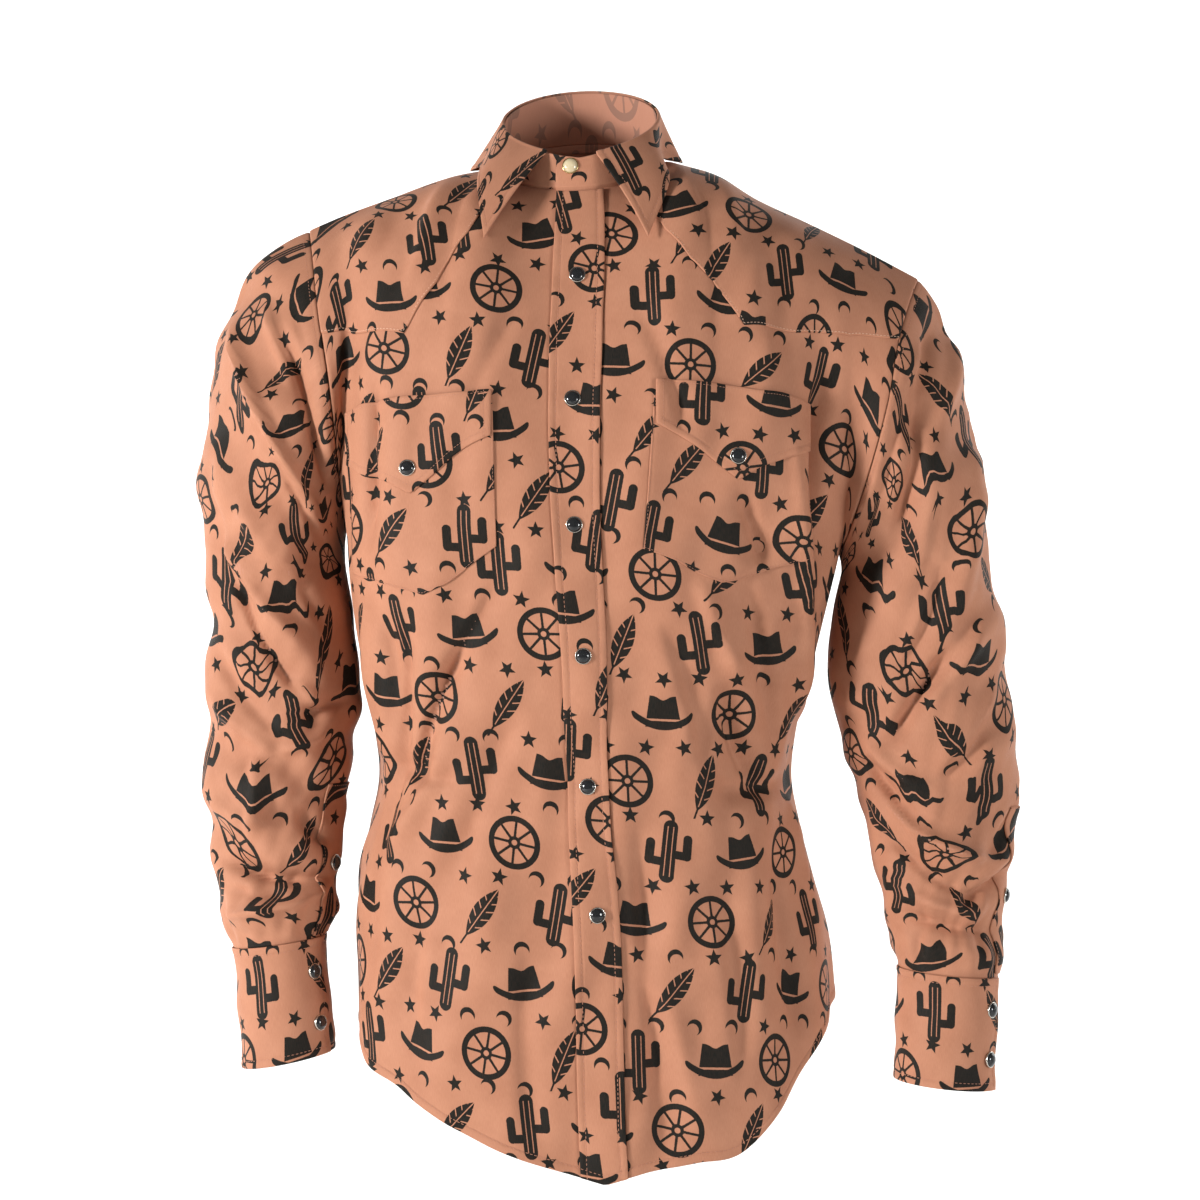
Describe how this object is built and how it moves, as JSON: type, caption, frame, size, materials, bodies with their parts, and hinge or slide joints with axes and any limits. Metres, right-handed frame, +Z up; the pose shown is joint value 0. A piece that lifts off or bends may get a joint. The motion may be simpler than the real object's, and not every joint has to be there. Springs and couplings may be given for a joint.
{
  "type": "western snap shirt",
  "caption": "Long-sleeved western shirt with pointed yokes, flapped chest pockets and a snap front, held in its worn form with the arms hanging.",
  "frame": {"origin": "middle of the neck's base, where the wearer's neck and shoulders carry the shirt", "axes": "+Z up, the front faces -Y, +X towards the wearer's left side"},
  "size_m": [0.6409, 0.2592, 0.8576],
  "materials": {
    "cloth": "printed cotton, soft sheen",
    "black_snap": "glossy black cap in a thin metal ring",
    "pearl_snap": "pearly cap in a thin metal ring"
  },
  "bodies": {
    "root": {"front_right": "cloth", "front_left": "cloth", "back": "cloth", "placket": "cloth", "yoke_front_right": "cloth", "yoke_front_left": "cloth", "yoke_back": "cloth", "collar_stand": "cloth", "collar": "cloth", "pocket_right": "cloth", "pocket_left": "cloth", "flap_right": "cloth", "flap_left": "cloth", "sleeve_right": "cloth", "sleeve_left": "cloth", "sleeve_placket_right": "cloth", "sleeve_placket_left": "cloth", "cuff_right": "cloth", "cuff_left": "cloth", "snap_placket_1": "black_snap", "snap_placket_2": "black_snap", "snap_placket_3": "black_snap", "snap_placket_4": "black_snap", "snap_placket_5": "black_snap", "snap_placket_6": "black_snap", "snap_pocket_right": "black_snap", "snap_pocket_left": "black_snap", "snap_sleeve_right": "black_snap", "snap_sleeve_left": "black_snap", "snap_cuff_right_1": "black_snap", "snap_cuff_right_2": "black_snap", "snap_cuff_left_1": "black_snap", "snap_cuff_left_2": "black_snap", "snap_collar": "pearl_snap"}
  },
  "joints": []
}
